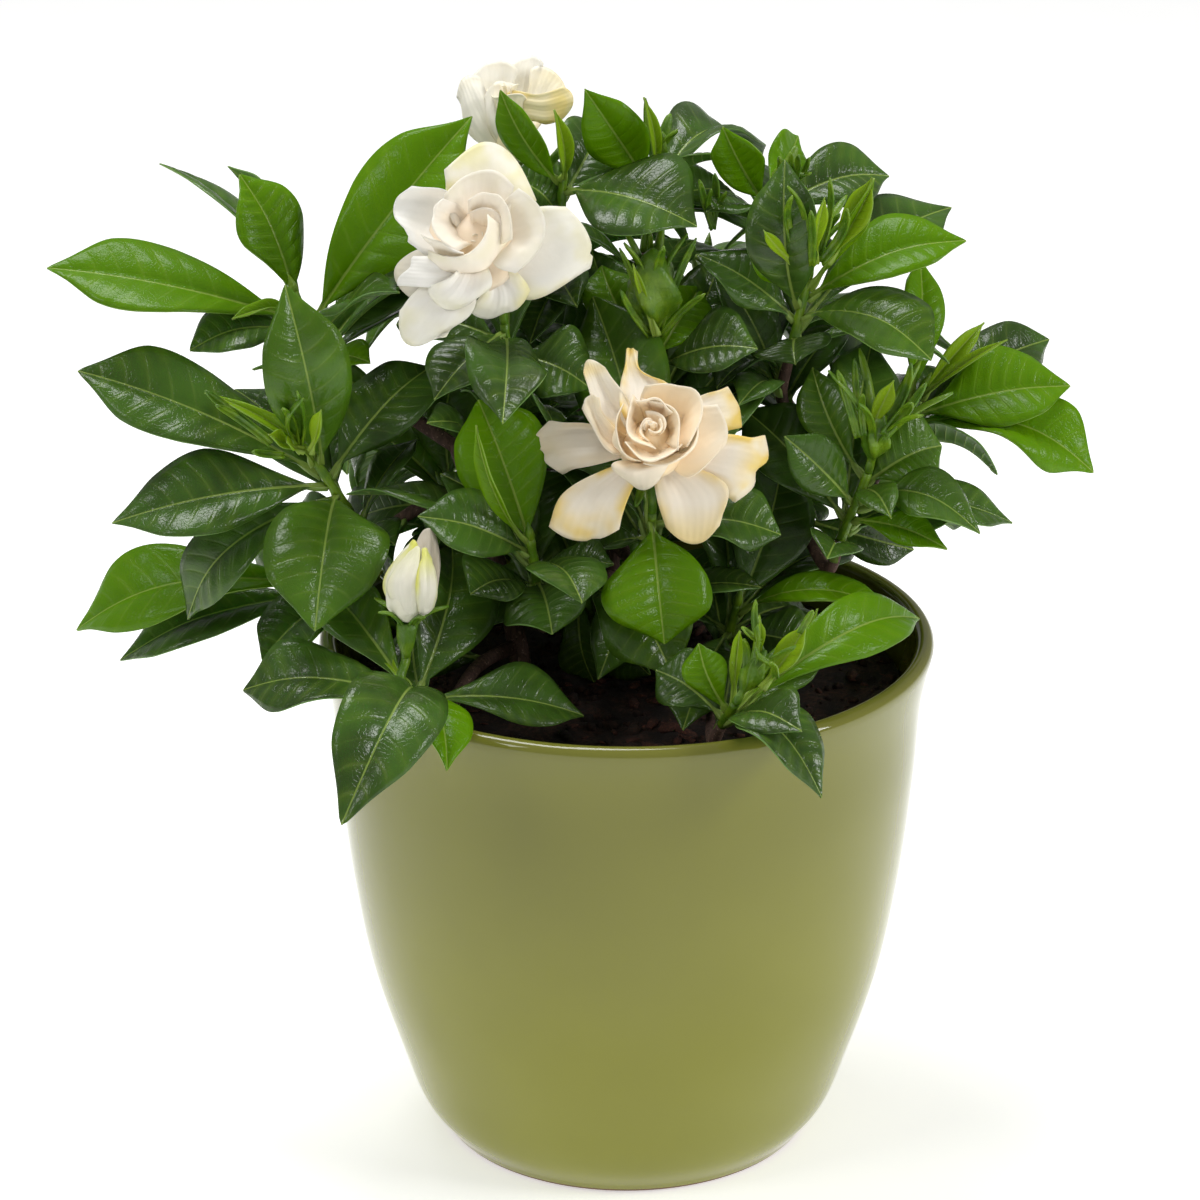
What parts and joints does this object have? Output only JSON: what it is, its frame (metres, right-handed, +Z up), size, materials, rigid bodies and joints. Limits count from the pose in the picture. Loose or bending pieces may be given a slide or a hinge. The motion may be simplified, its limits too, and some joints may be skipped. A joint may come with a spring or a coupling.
{
  "type": "potted gardenia",
  "caption": "Bushy evergreen gardenia with glossy leaves, white double blooms and buds, growing in a round glazed pot.",
  "frame": {"origin": "centre of the pot's foot, on the surface it stands on", "axes": "+Z up along the pot's axis, -Y towards the side with the open blooms, +X to the right seen from that side"},
  "size_m": [0.3564, 0.2921, 0.364],
  "materials": {
    "glaze": "gloss",
    "soil": "matte",
    "bark": "matte",
    "leaf": "satin",
    "young_green": "satin",
    "petal": "satin"
  },
  "bodies": {
    "root": {"planter": "glaze", "soil": "soil", "petals_left": "petal", "petals_centre": "petal", "petals_top": "petal", "petals_bud": "petal", "calyx_left": "young_green", "calyx_centre": "young_green", "calyx_top": "young_green", "calyx_bud": "young_green", "bud_middle": "young_green", "bud_right_upper": "young_green", "bud_right": "young_green", "bud_front_right": "young_green", "bud_top_right": "young_green", "bud_right_top": "young_green", "bud_left": "young_green", "woody_stem_left": "bark", "woody_stem_middle": "bark", "woody_stem_right": "bark", "woody_stem_back": "bark", "shoot_left": "leaf", "shoot_low_left": "leaf", "shoot_front_left": "leaf", "shoot_centre_left": "leaf", "shoot_centre": "leaf", "shoot_bloom_left": "leaf", "shoot_upper_left": "leaf", "shoot_middle": "leaf", "shoot_top": "leaf", "shoot_top_right": "leaf", "shoot_right_top": "leaf", "shoot_right_upper": "leaf", "shoot_right_far": "leaf", "shoot_right": "leaf", "shoot_low_right": "leaf", "shoot_front_right": "leaf", "shoot_inner_left": "leaf", "shoot_inner_front": "leaf", "shoot_inner_middle": "leaf", "shoot_back_left": "leaf", "shoot_back_low": "leaf", "shoot_back_middle": "leaf", "shoot_back_right": "leaf", "shoot_back_top": "leaf"}
  },
  "joints": []
}
